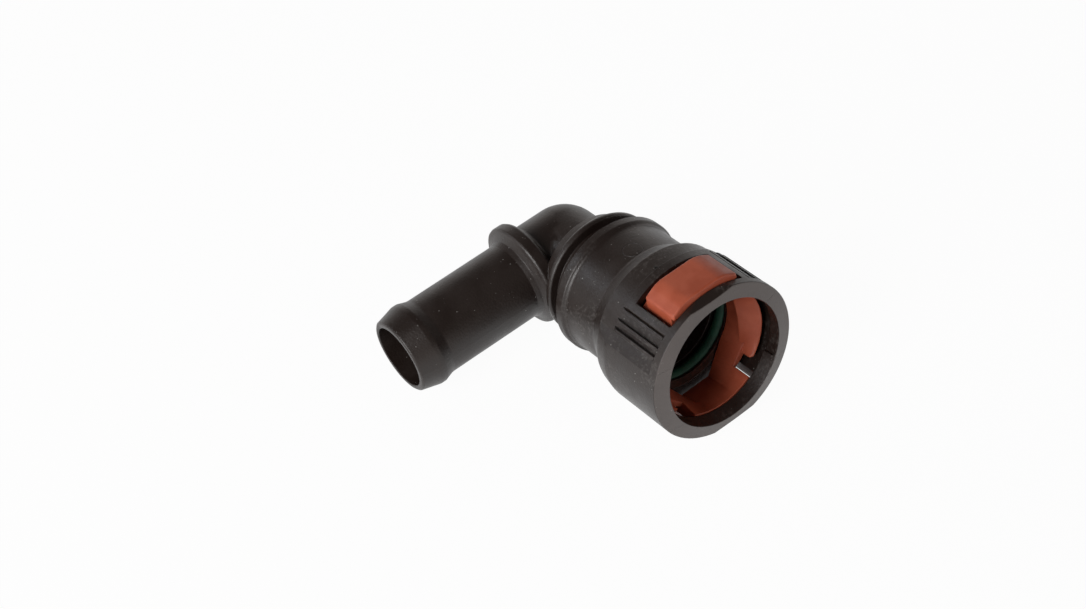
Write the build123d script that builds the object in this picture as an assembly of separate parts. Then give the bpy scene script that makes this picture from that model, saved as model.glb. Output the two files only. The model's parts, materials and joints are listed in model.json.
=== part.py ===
from build123d import *
import os
from math import acos, atan2, ceil, cos, degrees, radians, sin, sqrt, tan

# Elbow quick coupling. Lengths are millimetres.
# The coupling is drawn in its own axes: the elbow's centre is at zero, the socket opens along +X,
# the hose barb points along -Y and the two push pads face +Z and -Z.
# A station is a distance from the elbow's centre along the socket or along the barb.

# Waterway
flow_radius = 6.45
elbow_radius = 8.5

# Hose barb
barb_length = 40.5
barb_tube_radius = 8.0
bead_radius = 8.65
bead_crest_length = 1.0
bead_rise_length = 2.0
barb_nose_length = 4.1
barb_nose_radius = 7.6
barb_mouth_round = 0.4

# Stop collar at the root of the barb
collar_radius = 10.6
collar_station = 8.5
collar_width = 2.6
collar_round = 0.7
collar_barb_fillet = 1.7
collar_elbow_fillet = 0.9

# Pair of rings at the back of the socket, with a groove between them
back_step_station = 8.0
back_step_radius = 11.0
back_ring_station = 11.0
back_ring_radius = 12.83
back_ring_width = 1.3
groove_width = 3.2
groove_radius = 11.2
front_ring_radius = 14.05
front_ring_width = 2.0
ring_round = 0.3

# Socket barrel and housing
barrel_radius = 13.34
housing_radius = 16.13
housing_back_wall = 3.0
shoulder_length = 6.8
shoulder_knee = 3.8
shoulder_drop = 0.63
grip_floor_radius = 15.2
lip_back_wall = 0.5
lip_length = 1.76
face_cone_rise = 0.65
lip_edge_round = 0.2
facet_depth = 1.0
facet_length = 1.8

# Grip zones beside each window, with their ribs
grip_half_angle = 57.0
grip_flank_angle = 66.0
rib_angles = (40.4, 48.5, 54.7)
rib_thickness = 0.65
rib_gap = 0.2
rib_ramp = 1.2

# Saddle frame and window
window_half_width = 8.45
window_front_notch = 0.75
notch_floor_drop = 0.9
frame_bar = 1.4
frame_back_bar = 2.0
window_corner_round = 0.5

# Bores of the socket
guide_start = 19.5
guide_length = 13.3
guide_radius = 9.75
chamber_length = 9.0
chamber_radius = 14.2
mouth_radius_side = 13.0
mouth_radius_pad = 13.65
mouth_throat_radius = 12.65
mouth_recess_radius = 13.4
mouth_recess_half_angle = 32.0
mouth_recess_length = 2.4

# Seal and the ring that holds it
seal_section_radius = 1.25
seal_section_sides = 10
seal_back_gap = 0.25
seal_front_gap = 0.15
seal_bore_gap = 0.05
securing_ring_thickness = 0.5
securing_ring_lap = 1.9
gland_clearance = 0.05

# Retainer
retainer_back_gap = 0.3
retainer_front_gap = 0.2
hoop_clearance = 1.3
hoop_side_thickness = 2.6
hoop_width = 4.6
hoop_side_half_angle = 42.0
lug_half_angle = 44.4
lug_bore_gap = 0.05
lug_nose_height = 0.6
lug_ramp_length = 2.7
lug_nose_length = 0.45
lug_land = 0.45
lug_overlap = 1.2
pad_sector_half_angle = 31.5
pad_sector_rise = 1.5
pad_funnel_radius = 12.55
pad_end_gap = 1.0
pad_back_gap = 1.7
pad_front_gap = 0.15
pad_top = 17.25
pad_flat_half_width = 4.6
pad_shoulder_drop = 1.75
pad_crown_round = 2.5
pad_edge_round = 0.5
pad_edge_bevel = 0.4
pad_overhang_gap = 1.3
pocket_half_width = 3.3
pocket_wall = 0.5

# Places that follow from the sizes above
nose_start = barb_length - barb_nose_length
bead_start = nose_start - bead_crest_length
collar_end = collar_station + collar_width
groove_start = back_ring_station + back_ring_width
groove_end = groove_start + groove_width
front_ring_end = groove_end + front_ring_width
gland_start = guide_start + guide_length
seal_inner_radius = guide_radius + seal_bore_gap
seal_centre_radius = seal_inner_radius + seal_section_radius
seal_outer_radius = seal_centre_radius + seal_section_radius
seal_station = gland_start + seal_back_gap + seal_section_radius
gland_radius = seal_outer_radius + gland_clearance
securing_ring_start = seal_station + seal_section_radius + seal_front_gap
securing_ring_bore_radius = seal_outer_radius - securing_ring_lap
chamber_start = securing_ring_start + securing_ring_thickness
chamber_end = chamber_start + chamber_length
shoulder_end = chamber_start - housing_back_wall
barrel_end = shoulder_end - shoulder_length
lip_back = chamber_end + lip_back_wall
lip_edge = lip_back + lip_length
lip_face_inner = lip_edge + face_cone_rise
rib_start = shoulder_end + rib_gap
rib_end = lip_back - rib_gap
frame_half_width = window_half_width + frame_bar
frame_start = chamber_start - frame_back_bar
retainer_start = chamber_start + retainer_back_gap
retainer_end = chamber_end - retainer_front_gap
hoop_end = retainer_start + hoop_width
hoop_radius = chamber_radius - hoop_clearance
hoop_side_radius = hoop_radius - hoop_side_thickness
lug_start = hoop_end - lug_overlap
lug_ramp_start = lug_start + lug_land
lug_ramp_end = lug_ramp_start + lug_ramp_length
lug_end = lug_ramp_end + lug_nose_length
lug_bore_radius = guide_radius + lug_bore_gap
lug_ramp_radius = hoop_radius - lug_nose_height
pad_sector_radius = hoop_radius + pad_sector_rise
pocket_back_depth = pad_sector_radius - pocket_wall
window_end = chamber_end + window_front_notch
notch_floor = chamber_radius - notch_floor_drop
pad_start = chamber_start + pad_back_gap
pad_end = window_end - pad_front_gap
pad_half_width = window_half_width - pad_end_gap
pad_shoulder_height = pad_top - pad_shoulder_drop
pad_overhang_height = notch_floor + pad_overhang_gap
beyond = 5.0

# Rounded corners of an outline are drawn as chords that stay this close to the arc
round_sag = 0.12


def rounded_corner(before, corner, after, radius):
    """Points of the arc that rounds a corner, from the side of the point before it."""
    back = (Vector(before) - Vector(corner)).normalized()
    forth = (Vector(after) - Vector(corner)).normalized()
    turn = 180 - back.get_angle(forth)
    if radius == 0 or turn < 1:
        return [Vector(corner)]
    bisector = (back + forth).normalized()
    centre = Vector(corner) + bisector * (radius / cos(radians(turn / 2)))
    chords = ceil(turn / (2 * degrees(acos(1 - round_sag / radius))))
    start = Vector(corner) + back * (radius * tan(radians(turn / 2))) - centre
    side = 1 if back.cross(forth).Z < 0 else -1
    return [centre + start.rotate(Axis.Z, side * turn * step / chords) for step in range(chords + 1)]


def outline(rows):
    """Closed face from rows of (x, y, corner radius)."""
    points = []
    for index, (x, y, radius) in enumerate(rows):
        before = rows[index - 1][:2]
        after = rows[(index + 1) % len(rows)][:2]
        points += rounded_corner(before, (x, y), after, radius)
    return make_face(Polyline(*points, close=True))


def turned_socket(rows):
    """Solid turned about the socket's axis from rows of (station, radius, corner radius)."""
    return revolve(outline(rows), Axis.X)


def turned_barb(rows):
    """Solid turned about the barb's axis from rows of (station, radius, corner radius)."""
    return revolve(outline([(radius, -station, corner) for station, radius, corner in rows]), Axis.Y)


def socket_disc(start, end, radius):
    """Plain cylinder on the socket's axis, between two stations."""
    return extrude(Plane.YZ.offset(start) * Circle(radius), end - start)


def socket_block(start, end, half_width, low, high):
    """Box between two stations, centred on the pads' plane, from one height to another."""
    middle = Pos((start + end) / 2, 0, (low + high) / 2)
    return middle * Box(end - start, 2 * half_width, high - low)


def socket_tube(start, end, inner, outer):
    """Tube on the socket's axis, between two stations."""
    return socket_disc(start, end, outer) - socket_disc(start, end, inner)


def socket_face(station, corners, reaches):
    """Face across the socket's axis, between corners (y, z).

    The side that ends at a corner is an arc whose middle is as far from the axis as its reach says,
    or straight where the reach is zero.
    """
    sides = []
    for index, reach in enumerate(reaches):
        before, corner = corners[index - 1], corners[index]
        middle = (before + corner).normalized() * reach
        sides.append(ThreePointArc(before, middle, corner) if reach else Line(before, corner))
    return Plane.YZ.offset(station) * make_face(sides)


def socket_wedge(start, end, half_angle, reach):
    """Wedge that opens upward from the socket's axis, between two stations."""
    spread = reach * tan(radians(half_angle))
    sides = make_face(Polyline((0, 0), (spread, reach), (-spread, reach), close=True))
    return extrude(Plane.YZ.offset(start) * sides, end - start)


def both_pads(shape):
    """The shape, and the same turned half a turn about the socket's axis."""
    return shape + Rot(180, 0, 0) * shape


def barb_outside():
    """Tube with its end bead and the stop collar at its root."""
    return turned_barb([
        (0, 0, 0),
        (0, elbow_radius, 0),
        (collar_station - 1, elbow_radius, collar_elbow_fillet),
        (collar_station, collar_radius, collar_round),
        (collar_end, collar_radius, collar_round),
        (collar_end + 0.5, barb_tube_radius, collar_barb_fillet),
        (bead_start - bead_rise_length, barb_tube_radius, 2),
        (bead_start, bead_radius, 0.4),
        (nose_start, bead_radius, 0.5),
        (barb_length, barb_nose_radius, barb_mouth_round),
        (barb_length, 0, 0),
    ])


def socket_outside():
    """Elbow leg, the two rings, barrel, shoulder, housing and its conical face."""
    return turned_socket([
        (0, 0, 0),
        (0, elbow_radius, 0),
        (back_step_station - 0.8, elbow_radius, 0.8),
        (back_step_station, back_step_radius, ring_round),
        (back_ring_station - 0.8, back_step_radius + 0.5, 0),
        (back_ring_station, back_ring_radius, 0.4),
        (groove_start, back_ring_radius, 0.4),
        (groove_start + 0.2, groove_radius, 0),
        (groove_end - 0.2, groove_radius, 0),
        (groove_end, front_ring_radius, ring_round),
        (front_ring_end, front_ring_radius, 0.4),
        (front_ring_end + 0.4, barrel_radius, 0.8),
        (barrel_end, barrel_radius, 1.5),
        (barrel_end + shoulder_knee, housing_radius - shoulder_drop, 2.5),
        (shoulder_end, housing_radius, 3),
        (lip_edge, housing_radius, lip_edge_round),
        (lip_face_inner, mouth_radius_side, 0),
        (lip_face_inner, 0, 0),
    ])


def grip_recess():
    """Zone cut down to the grip floor, on the upper side, round the saddle frame.

    Its flanks slope, from the edge of the floor out to the housing's full radius.
    """
    start, reach = shoulder_end - beyond, housing_radius + beyond
    floor_edge = Vector(0, grip_floor_radius).rotate(Axis.Z, -grip_half_angle)
    flank_edge = Vector(0, housing_radius).rotate(Axis.Z, -grip_flank_angle)
    flank_end = flank_edge + (flank_edge - floor_edge) * beyond
    right = [floor_edge, flank_end, Vector(flank_end.X, 2 * reach)]
    left = [Vector(-point.X, point.Y) for point in reversed(right)]
    opening = make_face(Polyline(Vector(0, 0), *right, *left, close=True))
    zone = socket_tube(start, lip_back, grip_floor_radius, reach)
    zone &= extrude(Plane.YZ.offset(start) * opening, lip_back - start)
    return zone - socket_block(frame_start, lip_back, frame_half_width, 0, 2 * reach)


def grip_rib(angle):
    """Thin rib along the grip floor, with a ramp at its back end."""
    side = outline([
        (rib_start, grip_floor_radius - 0.4, 0),
        (rib_start, grip_floor_radius, 0),
        (rib_start + rib_ramp, housing_radius - 0.05, 0.5),
        (rib_end, housing_radius - 0.05, 0),
        (rib_end + 0.5, grip_floor_radius - 0.4, 0),
    ])
    rib = extrude(Plane.XZ * side, rib_thickness / 2, both=True)
    return Rot(angle, 0, 0) * rib


def lip_facet():
    """Wedge that slants the top of the lip in front of the window."""
    slant = make_face(Polyline(
        (lip_back + 0.2, housing_radius),
        (lip_back + 0.2 + 2 * facet_length, housing_radius - 2 * facet_depth),
        (lip_back + 0.2 + 2 * facet_length, housing_radius + beyond),
        (lip_back + 0.2, housing_radius + beyond),
        close=True,
    ))
    return extrude(Plane.XZ * slant, housing_radius, both=True)


def window():
    """Opening over the pad, cut through the housing wall, with a shallow notch into the lip."""
    reach = housing_radius + beyond
    opening = socket_block(chamber_start, chamber_end, window_half_width, guide_radius, reach)
    notch = socket_block(chamber_end - 1, window_end, window_half_width, notch_floor, reach)
    corners = notch.edges().filter_by(Axis.Z).group_by(Axis.X)[-1]
    return opening + fillet(corners, window_corner_round)


def mouth():
    """Way in that narrows from a slightly oval face, with a recess at each side for the lugs."""
    face_end = lip_face_inner + 0.5
    oval = Plane.YZ.offset(face_end) * Ellipse(mouth_radius_side, mouth_radius_pad)
    throat = Plane.YZ.offset(chamber_end - 0.5) * Ellipse(mouth_throat_radius, mouth_throat_radius)
    recess_end = chamber_end + mouth_recess_length
    recess = socket_tube(chamber_end - 0.5, recess_end, guide_radius, mouth_recess_radius)
    recess &= socket_wedge(chamber_end - 0.5, recess_end, mouth_recess_half_angle, 2 * mouth_recess_radius)
    return loft([throat, oval]) + both_pads(Rot(90, 0, 0) * recess)


def socket_bores():
    """Guide bore, seal gland and retainer chamber."""
    return turned_socket([
        (guide_start - 2, 0, 0),
        (guide_start - 2, flow_radius, 0),
        (guide_start, guide_radius, 0),
        (gland_start, guide_radius, 0),
        (gland_start, gland_radius, 0),
        (chamber_start, gland_radius, 0),
        (chamber_start, chamber_radius, 0),
        (chamber_end, chamber_radius, 0),
        (chamber_end, 0, 0),
    ])


def waterway():
    """Round flow bore that turns the corner at the elbow's centre."""
    leg = socket_disc(0, guide_start, flow_radius)
    barb_leg = extrude(Plane.XZ * Circle(flow_radius), barb_length + 1)
    return leg + Sphere(flow_radius) + barb_leg


def elbow_body():
    """The black moulding, from the barb's mouth to the socket's lip."""
    body = barb_outside() + Sphere(elbow_radius) + socket_outside()
    body -= both_pads(grip_recess())
    for angle in rib_angles:
        body += both_pads(grip_rib(angle) + grip_rib(-angle))
    body -= both_pads(lip_facet())
    body -= both_pads(window())
    body -= mouth()
    body -= socket_bores()
    return body - waterway()


def seal_ring():
    """Rubber ring in the gland, with a section of enough sides to read as round."""
    section = RegularPolygon(seal_section_radius, seal_section_sides)
    return revolve(Pos(seal_station, seal_centre_radius) * section, Axis.X)


def securing_ring():
    """Thin ring pressed into the front of the gland."""
    return socket_tube(securing_ring_start, chamber_start, securing_ring_bore_radius, seal_outer_radius)


def push_pad():
    """Pad with bevelled ends, rounded all round its top."""
    section = outline([
        (-pad_half_width, pad_sector_radius - 1, 0),
        (pad_half_width, pad_sector_radius - 1, 0),
        (pad_half_width, pad_shoulder_height, pad_edge_round),
        (pad_flat_half_width, pad_top, pad_crown_round),
        (-pad_flat_half_width, pad_top, pad_crown_round),
        (-pad_half_width, pad_shoulder_height, pad_edge_round),
    ])
    pad = extrude(Plane.YZ.offset(pad_start) * section, pad_end - pad_start)
    foot = pad.faces().sort_by(Axis.Z)[0]
    ends = pad.faces().filter_by(Axis.X)
    rims = [edge for edge in ends.edges() if edge.center().Z > foot.center().Z + 0.1]
    under_overhang = socket_block(retainer_end, pad_end + 1, pad_half_width + 1, 0, pad_overhang_height)
    return chamfer(rims, pad_edge_bevel) - under_overhang


def pad_carrier():
    """Sector of the ring under a pad."""
    sector = socket_disc(retainer_start, retainer_end, pad_sector_radius)
    sector &= socket_wedge(retainer_start, retainer_end, pad_sector_half_angle, pad_sector_radius)
    return push_pad() + sector


def in_four_quarters(corners):
    """Corners of the first quarter, given from the Y axis to the Z axis, repeated all the way round."""
    upper = corners + [Vector(-corner.X, corner.Y) for corner in reversed(corners)]
    return upper + [-corner for corner in upper]


def retainer_inside():
    """Funnel-shaped inside of the ring.

    At the back it has a flat behind each pad and an arc behind each lug, joined by slanted stretches.
    It widens to a circle at the front.
    """
    side = Vector(hoop_side_radius, 0).rotate(Axis.Z, hoop_side_half_angle)
    flat = Vector(pocket_half_width, pocket_back_depth)
    rims = [corner.normalized() * pad_funnel_radius for corner in (side, flat)]
    back = socket_face(retainer_start, in_four_quarters([side, flat]), [hoop_side_radius, 0, 0, 0] * 2)
    front = socket_face(retainer_end, in_four_quarters(rims), [pad_funnel_radius] * 8)
    way_out = socket_disc(retainer_end, retainer_end + beyond, pad_funnel_radius)
    return loft([back, front], ruled=True) + way_out


def locking_lugs():
    """Lug on each side, with a square locking face at the back and a nearly straight inner edge.

    Its ramp fans out from that edge to a round front.
    """
    corners = in_four_quarters([Vector(lug_ramp_radius, 0).rotate(Axis.Z, lug_half_angle)])
    edges = [lug_bore_radius, lug_ramp_radius] * 2
    land = socket_face(lug_start, corners, edges)
    ramp_foot = socket_face(lug_ramp_start, corners, edges)
    ramp_top = socket_face(lug_ramp_end, corners, [lug_ramp_radius] * 4)
    nose = turned_socket([
        (lug_ramp_end, 0, 0),
        (lug_ramp_end, lug_ramp_radius, 0),
        (lug_end, hoop_radius, 0),
        (lug_end, 0, 0),
    ])
    passage = extrude(land, lug_land) + loft([ramp_foot, ramp_top], ruled=True) + nose
    half_height = corners[0].Y
    band = socket_block(lug_start, lug_end, hoop_radius, -half_height, half_height)
    return (socket_disc(lug_start, lug_end, hoop_radius) & band) - passage


def retainer():
    """Red-brown ring with its two push pads and two locking lugs."""
    ring = socket_disc(retainer_start, hoop_end, hoop_radius) + both_pads(pad_carrier())
    return ring - retainer_inside() + locking_lugs()


def resting_place():
    """Where the coupling lies: its lower pad, front ring and bead all touch the ground.

    The pitch lifts the mouth and the roll lowers the barb. Each turn of the loop compares the depths
    of the three touching points below the elbow's centre, and tips the coupling towards the shallow one.
    """
    pitch, roll = 0.15, 0.07
    shoulder_slope = atan2(pad_shoulder_drop, pad_half_width - pad_flat_half_width)
    crown_start = pad_flat_half_width - pad_crown_round * tan(shoulder_slope / 2)
    crown_centre = pad_top - pad_crown_round
    ring_station = groove_end + ring_round
    bead_station = nose_start - pad_edge_round / 2
    for step in range(80):
        crown = crown_start * sin(roll) + crown_centre * cos(roll) + pad_crown_round - pad_edge_round
        pad_depth = pad_edge_round + crown * cos(pitch) - (pad_start + pad_edge_round) * sin(pitch)
        ring_depth = front_ring_radius * cos(pitch) - ring_station * sin(pitch)
        lean = sin(roll) * cos(pitch)
        bead_depth = bead_station * lean + bead_radius * sqrt(1 - lean ** 2)
        pitch += (pad_depth - ring_depth) / (2 * barb_length)
        roll += (ring_depth - bead_depth) / (2 * barb_length)
    return Pos(0, 0, ring_depth) * Rot(0, -degrees(pitch), 0) * Rot(degrees(roll), 0, 0)


def main():
    """Build every piece, lay the coupling down as it rests and write one file for each."""
    pieces = {
        "elbow_body": elbow_body(),
        "retainer": retainer(),
        "seal_ring": seal_ring(),
        "securing_ring": securing_ring(),
    }
    resting = resting_place()
    box = Compound([resting * piece for piece in pieces.values()]).bounding_box()
    place = Pos(-box.center().X, -box.center().Y, 0) * resting
    os.makedirs("parts", exist_ok=True)
    for node, piece in pieces.items():
        export_step(place * piece, f"parts/{node}.step")
    print("elbow centre", place.position, "orientation", place.orientation)


main()
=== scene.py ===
import json
import math

import bmesh
import bpy
from mathutils import Matrix, Vector

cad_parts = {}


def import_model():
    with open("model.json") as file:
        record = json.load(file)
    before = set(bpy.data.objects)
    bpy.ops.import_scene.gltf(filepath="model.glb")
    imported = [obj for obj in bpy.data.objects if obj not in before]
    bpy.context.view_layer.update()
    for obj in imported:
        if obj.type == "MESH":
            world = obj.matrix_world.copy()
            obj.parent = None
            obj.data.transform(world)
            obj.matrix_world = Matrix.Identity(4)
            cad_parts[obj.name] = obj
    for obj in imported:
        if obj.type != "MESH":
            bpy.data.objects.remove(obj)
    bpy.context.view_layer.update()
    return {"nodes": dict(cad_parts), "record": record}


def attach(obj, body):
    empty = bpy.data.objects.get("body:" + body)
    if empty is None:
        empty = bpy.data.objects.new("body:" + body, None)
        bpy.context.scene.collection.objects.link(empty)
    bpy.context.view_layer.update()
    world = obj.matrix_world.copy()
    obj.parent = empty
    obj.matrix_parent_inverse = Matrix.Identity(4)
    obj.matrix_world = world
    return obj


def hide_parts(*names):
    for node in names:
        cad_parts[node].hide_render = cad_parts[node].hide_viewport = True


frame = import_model()

MM = 0.001

# The coupling's own axes, from its mounts: the elbow's centre is at zero, the socket opens along X,
# the barb points along -Y and the pads face Z and -Z. Places on the coupling are given in these
# axes, in millimetres.
mounts = {mount["name"]: mount for mount in frame["record"]["mounts"]}
socket_axis = Vector(mounts["spigot_bore"]["axis"])
across_axis = -Vector(mounts["hose_barb"]["axis"])
pad_axis = socket_axis.cross(across_axis)
socket_point = Vector(mounts["spigot_bore"]["pos_m"])
barb_mouth = Vector(mounts["hose_barb"]["pos_m"])
elbow_centre = socket_point - socket_axis * (socket_point - barb_mouth).dot(socket_axis)
own_turn = Matrix((socket_axis, across_axis, pad_axis)).transposed()
turn_to_own = own_turn.transposed()
own_to_frame = Matrix.Translation(elbow_centre) @ own_turn.to_4x4() @ Matrix.Scale(MM, 4)
frame_to_own = own_to_frame.inverted()

# Camera, as fitted to the photograph, in the coupling's own axes
eye = Vector((264.241, -144.050, 256.110))
view_direction = Vector((-0.66249, 0.34120, -0.66685))
picture_up = Vector((-0.45472, 0.52426, 0.71999))
sensor_width = 36.0
photo_width = 1086
focal_pixels = 2010.34

# Colours of the finishes, linear
body_black = (0.0140, 0.0080, 0.0060)
body_worn = (0.0230, 0.0150, 0.0120)
# Lighter grey for scuffs, with painted sheen that stands for the satin highlights on the barrel
scuff_sheen_grey = (0.085, 0.076, 0.070)
# Painted shade in the arrow and in the groove of the ejector pin
mark_painted_shade = (0.005, 0.004, 0.003)
face_grey = (0.108, 0.092, 0.086)
dust_white = (0.45, 0.44, 0.42)
retainer_red = (0.45, 0.104, 0.054)
retainer_deep = (0.37, 0.076, 0.036)
ring_brown = (0.060, 0.020, 0.012)
seal_green = (0.022, 0.105, 0.066)
seal_shade = (0.014, 0.070, 0.046)
paper_white = (0.86, 0.86, 0.86)
white = (1.0, 1.0, 1.0)
warm_white = (1.0, 0.93, 0.89)
cool_white = (0.85, 0.92, 1.0)

# Shares in which one colour covers another
worn_share = 0.55
scuff_sheen_share = 0.6
mark_shade_share = 0.8
pin_shade_share = 0.4
dust_share = 0.7
face_share = (0.8, 1.0)

# Roughness of the finishes, from the smoothest to the roughest spots, and their gloss
black_roughness = (0.36, 0.47)
black_skin_roughness = 0.06
red_roughness = (0.38, 0.46)
brown_roughness = (0.38, 0.48)
green_roughness = (0.55, 0.65)
plain_gloss = 0.5
black_gloss = 0.58
red_gloss = 0.36

# Where noise, which is 0.5 on average, turns one look into the next
noise_middle = 0.5
noise_range = (0.3, 0.7)
mottle_range = (0.35, 0.65)
sheen_range = (0.35, 0.7)
wear_range = (0.42, 0.68)
rub_sheen_range = (0.44, 0.62)
speckle_range = (0.46, 0.70)

# Depths of the skins and of their grain, and the rounding of edges, in millimetres
black_skin_depth = 0.030
black_grain_depth = 0.040
red_skin_depth = 0.020
red_grain_depth = 0.008
brown_skin_depth = 0.010
green_skin_depth = 0.008
black_edge_radius = 0.22
red_edge_radius = 0.28
thin_edge_radius = 0.1
edge_samples = 6

# The Mix node's sockets have one name for several kinds, so those for colours go by their number
mix_share = 0
mix_first_colour = 6
mix_second_colour = 7
mix_colour = 2

# Places on the body, in millimetres
flow_radius = 6.45
elbow_radius = 8.5
barb_length = 40.5
housing_radius = 16.13
lip_edge = 47.46
face_slope = 0.65 / 3.13
seam_reach = 0.65
scuff_sheen_from = (15.0, 18.0)
face_from = (lip_edge - 0.12, lip_edge - 0.04)
mouth_rim = (12.9, 13.1)

# Marks of the mould, in millimetres
top_from = (11.0, 11.5)
arrow_tip = 32.4
arrow_end = 34.4
arrow_across = -0.93
arrow_slope = 0.48
arrow_edge = 0.10
arrow_height = 0.352
pin_along = 24.2
pin_across = 0.45
pin_radius = 1.9
pin_line = (0.03, 0.11)
pin_depth = 0.099
parting_height = 7.3
parting_line = (0.02, 0.08)
parting_from = (13.0, 13.4)
parting_depth = 0.066

# Push pads, in millimetres
sector_radius = 14.4
pad_foot_radius = 14.3
pad_half_width = 7.45
pad_flat = 4.6
pad_shoulder = 15.5
pad_top = 17.25
pad_start = 37.9
pad_end = 45.8
carrier_end = 45.0
pad_overhang = 14.6
pad_crown_width = 1.5
pad_crown_segments = 6
pad_rim_width = 0.38
pad_rim_segments = 4
pad_step = 0.02
foot_steps = 4
stub_gap = 0.1
stub_share = 0.5

# Seal, in millimetres
seal_station = 34.3
seal_centre_radius = 11.05
seal_section_radius = 1.25
seal_section_segments = 40
seal_steps = 120

# Edges of the moulded pieces, with angles in radians
smooth_angle = math.radians(2)
soft_angle = math.radians(50)
rim_angle = 0.6
flat_angle = 0.01
rounding_width = 1.05 * MM

# How near counts as there, in millimetres
weld_distance = 0.002
merge_distance = 0.001
pad_tolerance = 0.01
seam_tolerance = 0.02
radius_tolerance = 0.05
end_tolerance = 0.1
elbow_margin = 0.5

# How far along Y the barb's end face points at most, and how short a direction is that isn't set
end_facing = -0.9
unset_length = 0.5

# Surround and floor: strengths of light, and the heights and sides over which it changes
horizon_light = 1.0
left_light = 0.35
ceiling_light = 0.10
ceiling_from = (0.10, 0.60)
left_side = Vector((-0.35, -0.94, 0.0))
left_from = (-0.2, 0.8)
floor_seen = 0.96
floor_mirrored = 0.9
floor_size = 3.0

# Place in the socket that the lamps aim at, in millimetres
lamp_aim = Vector((20, 0, 0))


class Signal:
    """A shader's socket, with the sums that are done on it."""

    def __init__(self, finish, socket):
        self.finish = finish
        self.socket = socket

    def sum(self, operation, *terms):
        """Math node on signals and numbers."""
        return self.finish.node("ShaderNodeMath", {"operation": operation}, dict(enumerate(terms)))

    def __add__(self, other):
        return self.sum("ADD", self, other)

    def __radd__(self, other):
        return self.sum("ADD", other, self)

    def __sub__(self, other):
        return self.sum("SUBTRACT", self, other)

    def __rsub__(self, other):
        return self.sum("SUBTRACT", other, self)

    def __mul__(self, other):
        return self.sum("MULTIPLY", self, other)

    def __rmul__(self, other):
        return self.sum("MULTIPLY", other, self)

    def __pow__(self, other):
        return self.sum("POWER", self, other)

    def __abs__(self):
        return self.sum("ABSOLUTE", self)

    def __lt__(self, other):
        return self.sum("LESS_THAN", self, other)

    def at_most(self, most):
        return self.sum("MINIMUM", self, most)

    def at_least(self, least):
        return self.sum("MAXIMUM", self, least)


class Finish:
    """A material, or the world, that is built up from nodes."""

    def __init__(self, owner):
        self.owner = owner
        self.owner.use_nodes = True
        self.tree = self.owner.node_tree
        self.tree.nodes.clear()

    def node(self, kind, settings=None, inputs=None, output=0):
        """Adds a node: its settings first, then the values or links of its sockets."""
        made = self.tree.nodes.new(kind)
        for name, value in (settings or {}).items():
            setattr(made, name, value)
        for name, value in (inputs or {}).items():
            if isinstance(value, Signal):
                self.tree.links.new(value.socket, made.inputs[name])
            elif made.inputs[name].type == "RGBA":
                made.inputs[name].default_value = (*value, 1)
            else:
                made.inputs[name].default_value = value
        return Signal(self, made.outputs[output]) if made.outputs else None

    def own_place(self):
        """Place on the coupling in its own axes, in millimetres."""
        coordinates = self.node("ShaderNodeTexCoord", output="Object")
        return self.node("ShaderNodeMapping", {"vector_type": "TEXTURE"}, {
            "Vector": coordinates,
            "Location": elbow_centre,
            "Rotation": own_turn.to_euler(),
            "Scale": (MM, MM, MM),
        })

    def parts(self, place):
        """The three coordinates of a place, each as a signal."""
        return [self.node("ShaderNodeSeparateXYZ", None, {"Vector": place}, axis) for axis in "XYZ"]

    def noise(self, place, size, detail=3.0, roughness=0.5):
        """Even noise, whose blotches are about size millimetres."""
        return self.node("ShaderNodeTexNoise", None, {
            "Vector": place, "Scale": 1 / size, "Detail": detail, "Roughness": roughness,
        })

    def spread(self, value, low, high, to_low=0.0, to_high=1.0, smooth=True):
        """Value taken from one range to another, and held at its ends."""
        settings = {"interpolation_type": "SMOOTHSTEP" if smooth else "LINEAR", "clamp": True}
        return self.node("ShaderNodeMapRange", settings, {
            "Value": value, "From Min": low, "From Max": high, "To Min": to_low, "To Max": to_high,
        })

    def fade(self, value, full, gone):
        """One up to a value, and nothing past the next."""
        return self.spread(value, full, gone, 1.0, 0.0)

    def blend(self, share, first, second):
        """First colour, turning into the second as share goes from 0 to 1."""
        return self.node("ShaderNodeMix", {"data_type": "RGBA"}, {
            mix_share: share, mix_first_colour: first, mix_second_colour: second,
        }, mix_colour)

    def surface(self, shader):
        """Sends a shader to the output."""
        in_world = isinstance(self.owner, bpy.types.World)
        kind = "ShaderNodeOutputWorld" if in_world else "ShaderNodeOutputMaterial"
        self.node(kind, None, {"Surface": shader})
        return self.owner

    def moulding(self, colour, roughness, normal, gloss=plain_gloss):
        """Sends a moulded surface to the output."""
        return self.surface(self.node("ShaderNodeBsdfPrincipled", None, {
            "Base Color": colour,
            "Roughness": roughness,
            "Specular IOR Level": gloss,
            "Normal": normal,
        }))


def relief(finish, edge_radius, *heights):
    """Normal of a surface with rounded edges and fine relief, all in millimetres."""
    normal = finish.node("ShaderNodeBevel", {"samples": edge_samples}, {"Radius": edge_radius * MM})
    for height in heights:
        normal = finish.node("ShaderNodeBump", None, {
            "Height": height, "Distance": MM, "Strength": 1.0, "Normal": normal,
        })
    return normal


def dust(finish, place, cell, share, grain):
    """Mask of round specks, whose radius is grain millimetres.

    They lie in a share of the cells of a grid, which are about cell millimetres across.
    """
    cells = {"feature": "F1", "voronoi_dimensions": "3D"}
    grid = {"Vector": place, "Scale": 1 / cell}
    distance = finish.node("ShaderNodeTexVoronoi", cells, grid, "Distance")
    colour = finish.node("ShaderNodeTexVoronoi", cells, grid, "Color")
    pick = finish.node("ShaderNodeSeparateColor", None, {"Color": colour}, "Red")
    return (pick < share) * finish.fade(distance, grain / 2 / cell, grain / cell)


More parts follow.
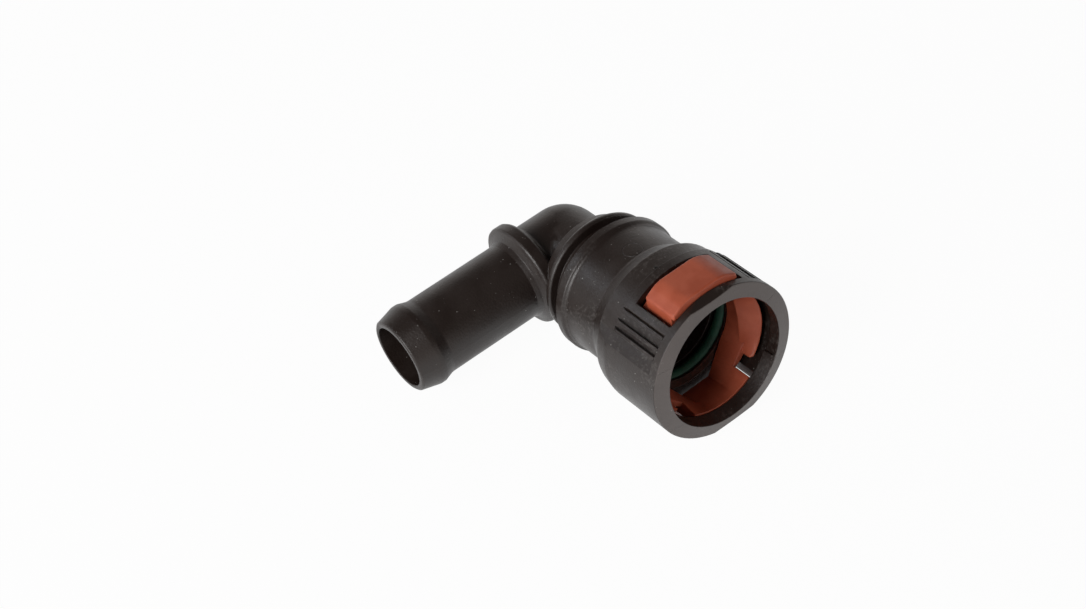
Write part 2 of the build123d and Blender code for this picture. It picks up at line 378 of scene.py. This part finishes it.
def mould_marks(finish, along, across, up, front):
    """Height of the mould's fine marks, and the painted shade in them.

    They are an arrow that rises towards its tip, the groove of an ejector pin and parting lines.
    """
    on_top = finish.spread(up, *top_from)
    arrow_room = (along - arrow_tip) * arrow_slope - abs(across - arrow_across)
    arrow = finish.spread(arrow_room, 0.0, arrow_edge)
    arrow = arrow * finish.spread(along, arrow_end, arrow_end - arrow_edge)
    wedge = arrow * finish.spread(along, arrow_tip, arrow_end, 1.0, 0.0, smooth=False)
    pin_reach = ((along - pin_along) ** 2 + (across - pin_across) ** 2) ** 0.5
    pin = finish.fade(abs(pin_reach - pin_radius), *pin_line)
    parting = finish.fade(abs(abs(up) - parting_height), *parting_line) * front
    height = (wedge * arrow_height - pin * pin_depth) * on_top - parting * parting_depth
    return height, (arrow + pin * pin_shade_share) * on_top


def moulded_black():
    """Near-black plastic: satin, scuffed on the barrel with painted sheen, greyer in front, with
    painted shade in its marks and a little dusty.
    """
    finish = Finish(bpy.data.materials.new("moulded_black"))
    place = finish.own_place()
    along, across, up = finish.parts(place)
    radius = (across * across + up * up) ** 0.5
    cloud = finish.noise(place, size=7.0, detail=4)
    skin = finish.noise(place, size=1.6)
    grain = finish.noise(place, size=0.40, roughness=0.6)
    colour = finish.blend(finish.spread(cloud, *wear_range) * worn_share, body_black, body_worn)

    # Lighter speckled patches from the barrel on: scuffs, and painted sheen in place of the
    # barrel's satin highlights
    patches = finish.spread(finish.noise(place, size=9.0), *rub_sheen_range)
    speckle = finish.spread(finish.noise(place, size=0.7, roughness=0.65), *speckle_range)
    scuffs_and_sheen = patches * speckle * finish.spread(along, *scuff_sheen_from)
    colour = finish.blend(scuffs_and_sheen * scuff_sheen_share, colour, scuff_sheen_grey)

    cone = along + (radius - housing_radius) * face_slope
    front = finish.spread(cone, *face_from) * finish.spread(radius, *mouth_rim)
    grey = front * finish.spread(cloud, *noise_range, *face_share)
    colour = finish.blend(grey, colour, face_grey)

    outer_front = front * finish.spread(radius, *parting_from)
    # Painted shade darkens the arrow and the pin's groove
    marks, painted_shade = mould_marks(finish, along, across, up, outer_front)
    colour = finish.blend(painted_shade * mark_shade_share, colour, mark_painted_shade)

    specks = dust(finish, place, cell=1.5, share=0.5, grain=0.11)
    lint = dust(finish, place, cell=0.8, share=0.5, grain=0.06)
    colour = finish.blend((specks + lint).at_most(dust_share), colour, dust_white)

    sheen = finish.spread(cloud, *sheen_range, *black_roughness)
    roughness = sheen + (skin - noise_middle) * black_skin_roughness
    heights = (skin * black_skin_depth, grain * black_grain_depth, marks)
    normal = relief(finish, black_edge_radius, *heights)
    return finish.moulding(colour, roughness, normal, black_gloss)


def moulded_red():
    """Red-brown plastic of the retainer, satin, with a faint mottle."""
    finish = Finish(bpy.data.materials.new("moulded_red"))
    place = finish.own_place()
    cloud = finish.noise(place, size=5.0)
    skin = finish.noise(place, size=1.2)
    grain = finish.noise(place, size=0.25, detail=2, roughness=0.6)
    colour = finish.blend(finish.spread(cloud, *mottle_range), retainer_deep, retainer_red)
    specks = dust(finish, place, cell=1.1, share=0.05, grain=0.07)
    colour = finish.blend(specks, colour, dust_white)
    roughness = finish.spread(skin, *noise_range, *red_roughness)
    normal = relief(finish, red_edge_radius, skin * red_skin_depth, grain * red_grain_depth)
    return finish.moulding(colour, roughness, normal, red_gloss)


def pressed_brown():
    """Dark brown plastic of the thin ring that holds the seal."""
    finish = Finish(bpy.data.materials.new("pressed_brown"))
    skin = finish.noise(finish.own_place(), size=0.8)
    colour = finish.blend(finish.spread(skin, *noise_range), body_black, ring_brown)
    roughness = finish.spread(skin, *noise_range, *brown_roughness)
    normal = relief(finish, thin_edge_radius, skin * brown_skin_depth)
    return finish.moulding(colour, roughness, normal)


def rubber_green():
    """Dull dark green rubber of the seal."""
    finish = Finish(bpy.data.materials.new("rubber_green"))
    place = finish.own_place()
    cloud = finish.noise(place, size=3.0)
    skin = finish.noise(place, size=0.5)
    colour = finish.blend(finish.spread(cloud, *mottle_range), seal_shade, seal_green)
    roughness = finish.spread(skin, *noise_range, *green_roughness)
    normal = relief(finish, thin_edge_radius, skin * green_skin_depth)
    return finish.moulding(colour, roughness, normal)


def new_object(name, data):
    """Object of a mesh, a lamp or a camera, in the scene."""
    made = bpy.data.objects.new(name, data)
    bpy.context.scene.collection.objects.link(made)
    return made


def patches_of(shape, direction):
    """Number of the smooth patch that each face is in, and the width and area of each patch."""
    patch = list(range(len(shape.faces)))

    def root(index):
        while patch[index] != index:
            patch[index] = patch[patch[index]]
            index = patch[index]
        return index

    edges = [edge for edge in shape.edges if len(edge.link_loops) == 2]
    for edge in edges:
        here, there = edge.link_loops
        turns = (
            here[direction].angle(there.link_loop_next[direction], math.pi),
            here.link_loop_next[direction].angle(there[direction], math.pi),
        )
        if max(turns) < smooth_angle:
            patch[root(here.face.index)] = root(there.face.index)
    patch = [root(index) for index in patch]
    areas = {}
    rims = {}
    for face in shape.faces:
        areas[patch[face.index]] = areas.get(patch[face.index], 0) + face.calc_area()
    for edge in edges:
        sides = {patch[loop.face.index] for loop in edge.link_loops}
        if len(sides) == 2:
            for side in sides:
                rims[side] = rims.get(side, 0) + edge.calc_length()
    widths = {side: 2 * area / rims.get(side, area) for side, area in areas.items()}
    return patch, widths, areas


def on_elbow_wall(place):
    """Whether a place is on the outside of one of the elbow's two legs."""
    from_socket_leg = abs(place.yz.length - elbow_radius)
    from_barb_leg = abs(place.xz.length - elbow_radius)
    return (place.x > -elbow_margin and from_socket_leg < radius_tolerance
            or place.y < elbow_margin and from_barb_leg < radius_tolerance)


def on_elbow_seam(place):
    """Whether a place is on the seam inside the elbow, where its two legs meet."""
    between_legs = place.x > elbow_margin and abs(place.x + place.y) < seam_tolerance
    return between_legs and abs(place.yz.length - elbow_radius) < radius_tolerance


def on_barb_lip(place, facing):
    """Whether a corner is on the inner edge of the barb's end face."""
    at_end = place.y < end_tolerance - barb_length and facing.y < end_facing
    return at_end and place.xz.length < flow_radius + radius_tolerance


def with_elbow_cuts(shape):
    """Cuts the elbow's walls beside their inner seam, so that only narrow strips shade round."""
    for side in (-seam_reach, seam_reach):
        place = {vert: frame_to_own @ vert.co for vert in shape.verts}
        walls = [face for face in shape.faces
                 if all(on_elbow_wall(place[vert]) for vert in face.verts)]
        edges = dict.fromkeys(edge for face in walls for edge in face.edges)
        corners = dict.fromkeys(vert for face in walls for vert in face.verts)
        bmesh.ops.bisect_plane(shape, geom=[*walls, *edges, *corners], dist=merge_distance * MM,
                               plane_co=own_to_frame @ Vector((side, side, 0)),
                               plane_no=own_turn @ Vector((1, 1, 0)))


def with_low_pads(shape):
    """Draws the retainer's own pads in, so that they stay hidden inside the finished ones."""
    for vert in shape.verts:
        place = frame_to_own @ vert.co
        if place.yz.length > sector_radius + radius_tolerance:
            place.x = min(max(place.x, pad_start + stub_gap), carrier_end - stub_gap)
            place.y *= 1 - stub_gap / pad_half_width
            height = sector_radius + (abs(place.z) - sector_radius) * stub_share
            place.z = math.copysign(height, place.z)
            vert.co = own_to_frame @ place


def middle_direction(loops, direction, patch):
    """Middle of the directions of some corners, with each smooth patch counted once."""
    kinds = {patch[loop.face.index]: loop[direction] for loop in loops}
    return sum(kinds.values(), Vector()).normalized()


def softened_directions(shape, direction):
    """Directions in which the corners shade, so that small roundings look curved.

    A narrow patch is a rounding. Its corners take the direction of the largest wide patch that they
    meet within the soft angle, or else the middle direction of the roundings that meet there.
    """
    patch, widths, areas = patches_of(shape, direction)

    def softened(loop):
        own = loop[direction].normalized()
        place = frame_to_own @ loop.vert.co
        if on_elbow_seam(place) or on_barb_lip(place, turn_to_own @ own):
            return middle_direction(loop.vert.link_loops, direction, patch)
        if widths[patch[loop.face.index]] >= rounding_width:
            return own
        near = [other for other in loop.vert.link_loops
                if own.angle(other[direction], math.pi) < soft_angle]
        wide = [other for other in near if widths[patch[other.face.index]] >= rounding_width]
        if wide:
            return max(wide, key=lambda other: areas[patch[other.face.index]])[direction].copy()
        return middle_direction(near, direction, patch)

    return [softened(loop) for face in shape.faces for loop in face.loops]


def softened_copy(name, node, change=None):
    """Copy of a CAD piece, changed if need be, whose small roundings shade as curves."""
    mesh = frame["nodes"][node].data.copy()
    mesh.name = name
    stored = mesh.attributes.new("direction", "FLOAT_VECTOR", "CORNER")
    values = [value for corner in mesh.corner_normals for value in corner.vector]
    stored.data.foreach_set("vector", values)
    shape = bmesh.new()
    shape.from_mesh(mesh)
    bmesh.ops.remove_doubles(shape, verts=shape.verts, dist=weld_distance * MM)
    if change:
        change(shape)
    shape.faces.index_update()
    direction = shape.loops.layers.float_vector["direction"]
    for face in shape.faces:
        face.smooth = True
        for loop in face.loops:
            if loop[direction].length < unset_length:
                loop[direction] = face.normal
    directions = softened_directions(shape, direction)
    shape.to_mesh(mesh)
    shape.free()
    mesh.attributes.remove(mesh.attributes["direction"])
    mesh.normals_split_custom_set(directions)
    return new_object(name, mesh)


def directions_led_by_area(shape):
    """Directions in which the corners shade, so that large faces stay flat and roundings curve."""
    shape.normal_update()
    directions = []
    for face in shape.faces:
        for loop in face.loops:
            near = [other for other in loop.vert.link_faces
                    if face.normal.angle(other.normal, 0) < soft_angle]
            lead = sum((other.normal * other.calc_area() for other in near), Vector())
            directions.append(lead.normalized())
    return directions


def new_piece(name, shape, led_by_area=False):
    """Smooth object from a bmesh that is drawn in the coupling's own axes."""
    shape.transform(own_to_frame)
    for face in shape.faces:
        face.smooth = True
    directions = directions_led_by_area(shape) if led_by_area else None
    mesh = bpy.data.meshes.new(name)
    shape.to_mesh(mesh)
    shape.free()
    if directions:
        mesh.normals_split_custom_set(directions)
    return new_object(name, mesh)


def all_of(shape):
    """Every vertex, edge and face of a shape."""
    return shape.verts[:] + shape.edges[:] + shape.faces[:]


def vertices_in(items):
    """The vertices among an operator's results."""
    return [item for item in items if isinstance(item, bmesh.types.BMVert)]


def bevel(shape, edges, width, segments):
    """Rounds edges of a shape."""
    bmesh.ops.bevel(shape, geom=edges, offset=width, offset_type="OFFSET", affect="EDGES",
                    segments=segments, profile=0.5, material=-1, clamp_overlap=True)


def pad_section():
    """Outline of a pad across the coupling: a curved foot, two sides, two slopes and a flat top."""
    foot_angle = math.asin(pad_half_width / pad_foot_radius)
    foot = [foot_angle * (1 - step / foot_steps) for step in range(2 * foot_steps + 1)]
    section = [(pad_foot_radius * math.sin(angle), pad_foot_radius * math.cos(angle))
               for angle in foot]
    return section + [
        (-pad_half_width, pad_shoulder),
        (-pad_flat, pad_top),
        (pad_flat, pad_top),
        (pad_half_width, pad_shoulder),
    ]


def push_pads():
    """The two pads, with crowned tops, rounded rims and a step under each overhanging front."""
    shape = bmesh.new()
    back = shape.faces.new([shape.verts.new((pad_start, y, z)) for y, z in pad_section()])
    grown = bmesh.ops.extrude_face_region(shape, geom=[back])["geom"]
    bmesh.ops.translate(shape, verts=vertices_in(grown), vec=(pad_end - pad_start, 0, 0))
    bmesh.ops.recalc_face_normals(shape, faces=shape.faces)

    def on_crown(edge):
        middle = (edge.verts[0].co + edge.verts[1].co) / 2
        at_flat = abs(abs(middle.y) - pad_flat) < pad_tolerance
        return abs(middle.z - pad_top) < pad_tolerance and at_flat

    def on_rim(edge):
        top = max(vert.co.z for vert in edge.verts)
        return edge.calc_face_angle(0) > rim_angle and top > pad_overhang

    def on_flat_cut(edge):
        near = all(abs(vert.co.x - carrier_end) < 2 * pad_step
                   and vert.co.z > pad_overhang + pad_tolerance for vert in edge.verts)
        return near and edge.calc_face_angle(0) < flat_angle

    crown = [edge for edge in shape.edges if on_crown(edge)]
    bevel(shape, crown, pad_crown_width, pad_crown_segments)
    rims = [edge for edge in shape.edges if on_rim(edge)]
    bevel(shape, rims, pad_rim_width, pad_rim_segments)

    # The step is made between two close cuts: the foot in front of them is raised, and what they
    # leave across the faces above it is dissolved
    for station in (carrier_end, carrier_end + pad_step):
        bmesh.ops.bisect_plane(shape, geom=all_of(shape), dist=merge_distance,
                               plane_co=(station, 0, 0), plane_no=(1, 0, 0))
    for vert in shape.verts:
        if vert.co.x > carrier_end + pad_step / 2:
            vert.co.z = max(vert.co.z, pad_overhang)
    cuts = [edge for edge in shape.edges if on_flat_cut(edge)]
    bmesh.ops.dissolve_edges(shape, edges=cuts, use_verts=True)

    other = bmesh.ops.duplicate(shape, geom=all_of(shape))["geom"]
    bmesh.ops.rotate(shape, verts=vertices_in(other), cent=(0, 0, 0),
                     matrix=Matrix.Rotation(math.pi, 3, "X"))
    return new_piece("push_pads", shape, led_by_area=True)


def seal():
    """Rubber ring of round section."""
    shape = bmesh.new()
    bmesh.ops.create_circle(shape, segments=seal_section_segments, radius=seal_section_radius)
    bmesh.ops.rotate(shape, verts=shape.verts, matrix=Matrix.Rotation(math.radians(90), 3, "X"))
    bmesh.ops.translate(shape, verts=shape.verts, vec=(seal_station, 0, seal_centre_radius))
    bmesh.ops.spin(shape, geom=shape.edges[:], axis=(1, 0, 0), cent=(0, 0, 0),
                   angle=math.tau, steps=seal_steps, use_merge=True)
    bmesh.ops.remove_doubles(shape, verts=shape.verts, dist=merge_distance)
    bmesh.ops.recalc_face_normals(shape, faces=shape.faces)
    return new_piece("rubber_seal", shape)


def dress(piece, body, finish, node=None):
    """Gives a piece its body and material, and hides the CAD node that it stands for, if any."""
    piece.data.materials.clear()
    piece.data.materials.append(finish)
    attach(piece, body)
    if node:
        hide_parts(node)


def floor():
    """Pale floor, which the camera sees as white paper with the object's soft shadow on it."""
    finish = Finish(bpy.data.materials.new("pale_paper"))
    to_camera = finish.node("ShaderNodeLightPath", output="Is Camera Ray")
    mirrored = finish.node("ShaderNodeLightPath", output="Is Glossy Ray")
    through = finish.node("ShaderNodeLightPath", output="Is Transmission Ray")
    paper = finish.node("ShaderNodeBsdfDiffuse", None, {"Color": paper_white})
    glow = finish.node("ShaderNodeEmission", None, {"Color": white, "Strength": 1.0})
    share = to_camera * floor_seen + mirrored * floor_mirrored + through * floor_mirrored
    shader = finish.node("ShaderNodeMixShader", None, {0: share, 1: paper, 2: glow})
    shape = bmesh.new()
    bmesh.ops.create_grid(shape, x_segments=1, y_segments=1, size=floor_size)
    mesh = bpy.data.meshes.new("floor")
    shape.to_mesh(mesh)
    shape.free()
    mesh.materials.append(finish.surface(shader))
    new_object("floor", mesh)


def world():
    """Surround that the camera sees as white, and that lights less from the left and from above."""
    finish = Finish(bpy.data.worlds.new("surround"))
    bpy.context.scene.world = finish.owner
    to_camera = finish.node("ShaderNodeLightPath", output="Is Camera Ray")
    direction = finish.node("ShaderNodeTexCoord", output="Generated")
    height = finish.node("ShaderNodeSeparateXYZ", None, {"Vector": direction}, "Z")
    left = finish.node("ShaderNodeVectorMath", {"operation": "DOT_PRODUCT"},
                       {0: direction, 1: own_turn @ left_side}, "Value")
    horizon = finish.spread(left, *left_from, horizon_light, left_light)
    light = horizon + (ceiling_light - horizon) * finish.spread(height, *ceiling_from)
    finish.surface(finish.node("ShaderNodeBackground", None, {
        "Color": finish.blend(to_camera, warm_white, white),
        "Strength": to_camera.at_least(light),
    }))


def softbox(name, direction, distance, size, power, colour=white):
    """Square studio lamp, in a direction and at a distance in metres from the elbow."""
    lamp = bpy.data.lights.new(name, "AREA")
    lamp.shape = "SQUARE"
    lamp.size = size
    lamp.energy = power
    lamp.color = colour
    box = new_object(name, lamp)
    box.location = own_to_frame @ (Vector(direction).normalized() * distance / MM)
    towards = own_to_frame @ lamp_aim - box.location
    box.rotation_euler = towards.to_track_quat("-Z", "Y").to_euler()


def camera():
    """Camera at the photograph's place, with its lens."""
    lens = bpy.data.cameras.new("camera")
    lens.sensor_width = sensor_width
    lens.lens = sensor_width * focal_pixels / photo_width
    lens.clip_start = 0.01
    lens.clip_end = 10
    back = -(own_turn @ view_direction).normalized()
    right = (own_turn @ picture_up).cross(back).normalized()
    turn = Matrix((right, back.cross(right), back)).transposed()
    holder = new_object("camera", lens)
    holder.matrix_world = Matrix.Translation(own_to_frame @ eye) @ turn.to_4x4()
    bpy.context.scene.camera = holder


black = moulded_black()
red = moulded_red()
brown = pressed_brown()
green = rubber_green()

elbow = softened_copy("moulded_elbow", "elbow_body", with_elbow_cuts)
dress(elbow, "coupling", black, node="elbow_body")
retainer = softened_copy("push_retainer", "retainer", with_low_pads)
dress(retainer, "push_ring", red, node="retainer")
dress(push_pads(), "push_ring", red)
ring = softened_copy("pressed_ring", "securing_ring")
dress(ring, "coupling", brown, node="securing_ring")
dress(seal(), "coupling", green, node="seal_ring")

floor()
world()
softbox("front_softbox", (0.22, -0.85, 0.55), distance=0.9, size=0.5, power=6.8)
softbox("left_softbox", (-0.65, -0.52, 0.55), distance=0.9, size=0.22, power=0.55,
        colour=cool_white)
camera()

bpy.context.scene.view_settings.view_transform = "Standard"
